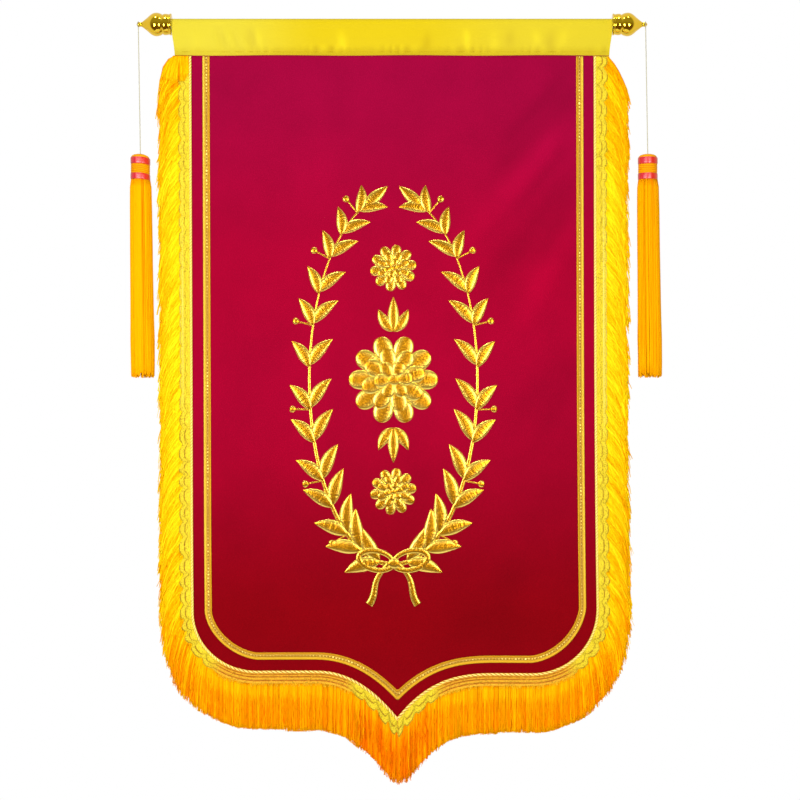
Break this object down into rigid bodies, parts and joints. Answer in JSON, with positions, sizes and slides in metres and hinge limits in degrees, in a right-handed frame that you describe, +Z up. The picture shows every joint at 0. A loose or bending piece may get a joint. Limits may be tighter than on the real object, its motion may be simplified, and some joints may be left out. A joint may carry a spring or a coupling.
{
  "type": "honor banner and rod",
  "caption": "Hung velvet banner with a pointed lower edge, a satin heading on a rod with turned finials, gold fringe, trim ribbon and tassels.",
  "frame": {"origin": "on the rod's axis, halfway between the finials", "axes": "+X along the rod, -Y towards the front, +Z up"},
  "size_m": [0.7696, 0.0338, 1.1234],
  "materials": {
    "wine_velvet": "short cut-pile velvet, matt with a soft pink sheen",
    "yellow_satin": "smooth yellow satin with a soft gloss",
    "gold_thread": "glossy twisted rayon thread, amber gold",
    "gold_ribbon": "woven metallic gold ribbon",
    "red_winding": "glossy red winding",
    "cream_string": "fine cream string",
    "gold_plating": "mirror-bright gold plating",
    "bright_steel": "plain tube, hidden in the heading"
  },
  "bodies": {
    "root": {"panel": "wine_velvet", "heading": "yellow_satin", "rod": "bright_steel", "finial_left": "gold_plating", "finial_right": "gold_plating", "fringe": "gold_thread", "trim": "gold_ribbon", "string_left": "cream_string", "string_right": "cream_string", "tassel_left": "gold_thread", "tassel_right": "gold_thread", "band_left_upper": "red_winding", "band_left_lower": "red_winding", "band_right_upper": "red_winding", "band_right_lower": "red_winding"}
  },
  "joints": []
}
